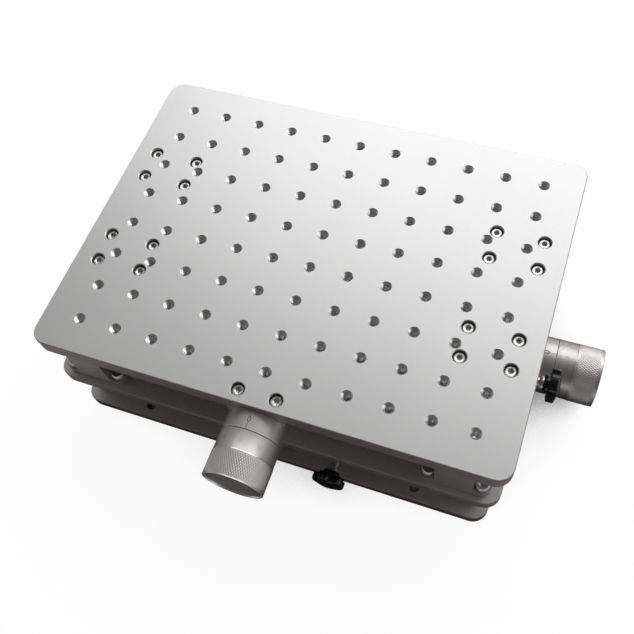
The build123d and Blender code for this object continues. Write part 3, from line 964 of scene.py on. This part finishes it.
class KnobSizes(PropertyGroup):
    """Sizes of the star knobs"""

    knob_radius: length("Knob radius", "Radius over the lobes", 10.6)
    flute_radius: length("Flute radius", "Radius of a flute", 4.2)
    flute_depth: length("Flute depth", "Depth of the flutes between the lobes", 2.8)
    head_length: length("Head length", "Length of the head with its crown", 6.8)
    rim_length: length("Rim length", "Length of the lobes at their tips", 4.8)
    crown_radius: length("Crown radius", "Radius of the crown's flat end", 3.5)
    hub_diameter: length("Hub diameter", "Diameter of the hub", 11)
    hub_length: length("Hub length", "Length of the hub with its insert", 5.8)
    insert_diameter: length("Insert diameter", "Metal insert's end", 8.4)
    insert_length: length("Insert length", "Insert in front of the hub", 2.6)
    knob_lobes: whole("Lobes", "Lobes of a star knob", 5, min=3)


class Colours(PropertyGroup):
    """Colours and gloss of the finishes"""

    plate: paint("Plate", "Clear anodised plates", (0.62, 0.62, 0.62))
    plate_metal: share("Plate metal", "How metallic the plates look", 0.5)
    plate_roughness: share("Plate roughness", "Roughness of the plates", 0.4)
    # Painted shade: the plates' sides are given a darker, browner colour than their tops, though
    # both are the same anodised metal.
    plate_edge: paint("Plate edge", "Side faces of the plates", (0.37, 0.348, 0.332))
    plate_edge_metal: share("Plate edge metal", "How metallic the sides look", 0.4)
    bored: paint("Bored", "Walls of plain holes and the drums' cups", (0.72, 0.71, 0.7))
    fresh_cut: paint("Fresh cut", "Threads of tapped holes", (0.82, 0.83, 0.84))
    socket: paint("Socket", "Recesses in the screw heads", (0.55, 0.545, 0.54))
    block: paint("Block", "Milled aluminium blocks", (0.45, 0.44, 0.43))
    block_metal: share("Block metal", "How metallic the blocks look", 0.6)
    drum: paint("Drum", "Turned aluminium", (0.54, 0.53, 0.52))
    drum_metal: share("Drum metal", "How metallic the drums look", 0.8)
    screw: paint("Screw", "Stainless screws", (0.54, 0.54, 0.54))
    screw_side: paint("Screw side", "Sides of the screw heads", (0.58, 0.58, 0.58))
    # Painted shade: the screws under the table are given a darker steel than the other screws, as
    # shade falls on them there.
    dull_screw: paint("Dull screw", "Screws under the table", (0.42, 0.41, 0.4))
    shaft: paint("Shaft", "Ground steel shafts", (0.62, 0.62, 0.63))
    bronze: paint("Bronze", "Bronze bushings and nuts", (0.55, 0.36, 0.14))
    brass: paint("Brass", "Brass lock pads", (0.68, 0.5, 0.18))
    knob: paint("Knob", "Black plastic", (0.004, 0.004, 0.004))
    mark: paint("Mark", "Paint in the index mark", (0.06, 0.06, 0.06))
    scale: paint("Scale", "Worn paint in the drum's scale", (0.26, 0.25, 0.24))


class Studio(PropertyGroup):
    """Camera, floor and lamps"""

    lens: plain("Lens", "Focal length in millimetres", 44.2)
    floor: paint("Floor", "Plain pale floor", (0.1, 0.1, 0.1))
    floor_white: plain("Floor white", "Level at which the floor is seen", 0.94)
    back_lamp: plain("Back lamp", "Soft lamp behind the stage, in watts", 19.5)
    right_lamp: plain("Right lamp", "Soft lamp to the right, in watts", 3.0)
    room_front: paint("Room front", "The room in front of the stage", (0.1, 0.088, 0.08))
    room_back: paint("Room back", "The room behind the stage", (0.34, 0.34, 0.34))


# Operators
class XY_OT_finishes(Operator):
    """Make the finishes that the pieces take"""

    bl_idname = "xy_stage.finishes"
    bl_label = "Finishes"

    def execute(self, context):
        colours = context.scene.xy_colours
        anodised("anodised", colours)
        machined("machined", colours)
        milled_side("plate_edge", colours)
        moulded_plastic("knob_plastic", colours)
        for name, colour, roughness, spacing, metallic in (
                ("turned", colours.drum, 0.38, 0.25, colours.drum_metal),
                ("turned_screw", colours.screw, 0.3, 0.12, 1.0),
                ("bearing_bronze", colours.bronze, 0.35, 0.3, 1.0),
                ("brass", colours.brass, 0.3, 0.2, 1.0)):
            turned_metal(name, colour, roughness, spacing * mm, metallic)
        for name, colour, roughness, scale in (
                ("ground_shaft", colours.shaft, 0.2, 2500),
                ("bright_screw", colours.screw, 0.3, 2500),
                ("dull_screw", colours.dull_screw, 0.4, 2500),
                ("screw_side", colours.screw_side, 0.45, 2500),
                ("socket", colours.socket, 0.45, 2500),
                ("bored", colours.bored, 0.4, 1800),
                ("fresh_cut", colours.fresh_cut, 0.3, 1800)):
            ground_metal(name, colour, roughness, scale)
        engraved_mark("index_paint", colours.mark)
        engraved_mark("scale_paint", colours.scale)
        return {"FINISHED"}


class XY_OT_plates(Operator):
    """Cut the table, saddle and base plates with all their holes"""

    bl_idname = "xy_stage.plates"
    bl_label = "Plates"

    def execute(self, context):
        sizes = context.scene.xy_plates
        for name, hung, standing, further in (
                ("table", "y", None, grid_holes(sizes)), ("saddle", "x", "y", []),
                ("base", None, "x", foot_holes(sizes))):
            node = f"{name}_plate"
            holes = screw_holes(node, sizes, hung, standing) + further
            finished(drilled_plate(node, holes, sizes), name,
                     ["anodised", "bored", "plate_edge", "fresh_cut"], [node],
                     slot="anodised_plate")
        return {"FINISHED"}


class XY_OT_blocks(Operator):
    """Deburr the shaft supports, carriages, nut blocks and bearing blocks"""

    bl_idname = "xy_stage.blocks"
    bl_label = "Blocks"

    def execute(self, context):
        width = context.scene.xy_plates.broken_edge
        for layer in layers:
            for kind in ("shaft_support", "carriage"):
                for corner in corners:
                    broken_edges(f"{layer}_{kind}_{corner}", f"{layer}_{kind}_body_{corner}",
                                 "machined", "machined_aluminium", width)
            for kind in ("nut_block", "bearing_block"):
                broken_edges(f"{layer}_{kind}", f"{layer}_{kind}_body", "machined",
                             "machined_aluminium", width)
        return {"FINISHED"}


class XY_OT_screws(Operator):
    """Put in every socket head cap screw with its thread and its hexagon socket"""

    bl_idname = "xy_stage.screws"
    bl_label = "Cap Screws"

    def execute(self, context):
        for layer in layers:
            for kind in ("carriage", "support", "nut", "bearing_block"):
                node = f"{layer}_{kind}_screws"
                # Painted shade: the support screws under the table take the darker steel.
                steel = "dull_screw" if kind == "support" else "bright_screw"
                finished(add_screws(node, layer), f"{layer}_{kind}_cap_screws",
                         [steel, "socket", "screw_side"], [node], slot="screw_steel")
        return {"FINISHED"}


class XY_OT_drums(Operator):
    """Turn the drums with their knurled grips, scales and index collars"""

    bl_idname = "xy_stage.drums"
    bl_label = "Drums"

    def execute(self, context):
        sizes = context.scene.xy_drums
        for layer in layers:
            drum, collar = f"{layer}_drum", f"{layer}_index_collar"
            place = nose(layer)
            finished(drum_body(sizes), f"{drum}_body", ["turned", "bored", "turned_screw"],
                     [drum], slot="turned_aluminium", place=place, crease=24.0)
            finished(scale_body(sizes), f"{drum}_scale", ["scale_paint"], [],
                     rides=body_under(drum), place=place)
            broken_edges(collar, f"{collar}_body", "turned", "turned_aluminium", 0.15 * mm, place)
            finished(index_body(sizes), f"{layer}_index_mark", ["index_paint"], [],
                     rides=body_under(collar), place=place)
        return {"FINISHED"}


class XY_OT_lead_screws(Operator):
    """Cut the lead screws' threads"""

    bl_idname = "xy_stage.lead_screws"
    bl_label = "Lead Screws"

    def execute(self, context):
        for layer in layers:
            finished(lead_screw_body(layer, context.scene.xy_drums), f"{layer}_lead_screw_body",
                     ["turned_screw"], [f"{layer}_lead_screw"], slot="screw_steel",
                     place=nose(layer), crease=40.0)
        return {"FINISHED"}


class XY_OT_knobs(Operator):
    """Mould the star knobs of the locks"""

    bl_idname = "xy_stage.knobs"
    bl_label = "Star Knobs"

    def execute(self, context):
        for layer in layers:
            low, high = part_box(f"{layer}_lock_stud")
            place = facing((low + high) / 2, lock_way[layer])
            low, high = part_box(f"{layer}_lock_knob")
            reach = max((place.inverted() @ corner).z for corner in (low, high)) / mm
            finished(knob_body(reach, context.scene.xy_knobs), f"{layer}_star_knob",
                     ["knob_plastic", "bright_screw"], [f"{layer}_lock_knob"],
                     slot="black_plastic", place=place, crease=50.0)
        return {"FINISHED"}


class XY_OT_inner_parts(Operator):
    """Give the parts that keep their CAD shape their finishes"""

    bl_idname = "xy_stage.inner_parts"
    bl_label = "Inner Parts"

    def execute(self, context):
        kept = {
            "bearing_bronze": ("bushings", "lead_nut"),
            "bright_screw": ("shaft_grub_screws", "bearings", "drum_nut", "lock_stud"),
            "turned_screw": ("drum_spacer",),
            "brass": ("lock_pad",),
            "ground_shaft": [f"guide_shaft_{side}" for side in ("front", "rear", "left", "right")]}
        for finish, kinds in kept.items():
            for kind in kinds:
                for layer in layers:
                    part = nodes.get(f"{layer}_{kind}")
                    if part:
                        part.data.materials.clear()
                        part.data.materials.append(finish_of(finish))
        return {"FINISHED"}


class XY_OT_studio(Operator):
    """Set up the camera, the floor, the lamps and the room's light"""

    bl_idname = "xy_stage.studio"
    bl_label = "Studio"

    def execute(self, context):
        studio = context.scene.xy_studio
        context.scene.view_settings.view_transform = "Standard"
        self.add_camera(context, studio)
        self.add_floor(studio)
        for name, place, target, width, height, power in (
                ("back_lamp", (0.1, 1.02, 1.0), (0, 0, 0.05), 2.2, 1.15, studio.back_lamp),
                ("right_lamp", (1.3, 0.35, 0.62), (0, 0, 0.08), 1.4, 0.9, studio.right_lamp)):
            self.add_lamp(name, place, target, width, height, power)
        self.add_room(context, studio)
        return {"FINISHED"}

    def add_room(self, context, studio):
        """Room's light, pale behind the stage and dim in front of it."""
        room = Finish(bpy.data.worlds.new("room"))
        way = room.node("TexCoord", output="Generated")
        parts = room.node("SeparateXYZ", None, {0: way})
        behind = room.ramp(parts.output("Y"), -0.5, 0.6, kind="SMOOTHSTEP")
        colour = room.blend(behind, studio.room_front, studio.room_back)
        low = room.ramp(parts.output("Z"), 0.05, 0.2, 1.0, 0.0)
        seen, mirrored = room.ray_kinds()
        shown = room.blend(seen + mirrored * low, colour, (0.97, 0.97, 0.97))
        light = room.node("Background", None, {"Color": shown, "Strength": 1.0})
        room.node("OutputWorld", None, {"Surface": light})
        context.scene.world = room.owner

    def add_camera(self, context, studio):
        data = bpy.data.cameras.new("camera")
        data.lens = studio.lens
        data.shift_x = -0.0325
        data.shift_y = -0.0057
        data.clip_start = 0.01
        camera = new_object("camera", data)
        camera.location = (0.13292, -0.23221, 0.50325)
        camera.rotation_euler = [radians(turn) for turn in (28.2968, 4.7858, 19.1248)]
        context.scene.camera = camera

    def add_floor(self, studio):
        body = Body()
        reach = 12
        body.face(body.ring([Vector((x * reach, y * reach, 0)) for x, y in
                             ((-1, -1), (1, -1), (1, 1), (-1, 1))]))
        mesh = body.to_mesh("floor")
        finish = new_finish("floor")
        paper = finish.noise(300)
        colour = finish.tint(studio.floor, finish.levels(paper, 0.995, 1.005))
        diffuse = finish.node("BsdfDiffuse", None, {"Color": colour})
        seen, mirrored = finish.ray_kinds()
        # Painted shadow: ambient occlusion darkens the floor's white near and under the stage,
        # lightly as the camera sees it (the level named lit) and strongly as metal reflects it,
        # which also darkens the stage's side faces.
        floor_ao_painted_shadow = finish.node("AmbientOcclusion", {"samples": 8},
                                 {"Distance": 350 * mm}, "AO")
        lit = finish.ramp(floor_ao_painted_shadow, 0.08, 0.5, kind="SMOOTHSTEP")
        shown = seen * lit + mirrored * floor_ao_painted_shadow ** 12
        white = finish.node("Emission", None, {"Strength": shown * studio.floor_white})
        both = finish.node("AddShader", None, {0: diffuse, 1: white})
        finish.node("OutputMaterial", None, {"Surface": both})
        mesh.materials.append(finish.owner)
        new_object("floor", mesh)

    def add_lamp(self, name, place, target, width, height, power):
        data = bpy.data.lights.new(name, "AREA")
        data.shape = "RECTANGLE"
        data.size = width
        data.size_y = height
        data.energy = power
        lamp = new_object(name, data)
        lamp.location = place
        way = Vector(target) - Vector(place)
        lamp.rotation_euler = way.to_track_quat("-Z", "Y").to_euler()
        lamp.visible_camera = False


operators = (XY_OT_finishes, XY_OT_plates, XY_OT_blocks, XY_OT_screws, XY_OT_drums,
             XY_OT_lead_screws, XY_OT_knobs, XY_OT_inner_parts, XY_OT_studio)


settings = {"xy_plates": PlateSizes, "xy_drums": DrumSizes, "xy_knobs": KnobSizes,
            "xy_colours": Colours, "xy_studio": Studio}


class XY_PT_stage(Panel):
    """Panel with the steps that dress the stage"""

    bl_idname = "XY_PT_stage"
    bl_label = "X-Y Stage"
    bl_space_type = "VIEW_3D"
    bl_region_type = "UI"
    bl_category = "X-Y Stage"

    def draw(self, context):
        for operator in operators:
            self.layout.operator(operator.bl_idname)
        for group, kind in settings.items():
            box = self.layout.box()
            for name in kind.__annotations__:
                box.prop(getattr(context.scene, group), name)


def register():
    for made in (*settings.values(), *operators, XY_PT_stage):
        bpy.utils.register_class(made)
    for name, group in settings.items():
        setattr(bpy.types.Scene, name, PointerProperty(type=group))


def unregister():
    for name in settings:
        delattr(bpy.types.Scene, name)
    for made in (XY_PT_stage, *reversed(operators), *settings.values()):
        bpy.utils.unregister_class(made)


def main():
    register()
    for operator in operators:
        group, name = operator.bl_idname.split(".")
        getattr(getattr(bpy.ops, group), name)()


if __name__ == "__main__":
    main()
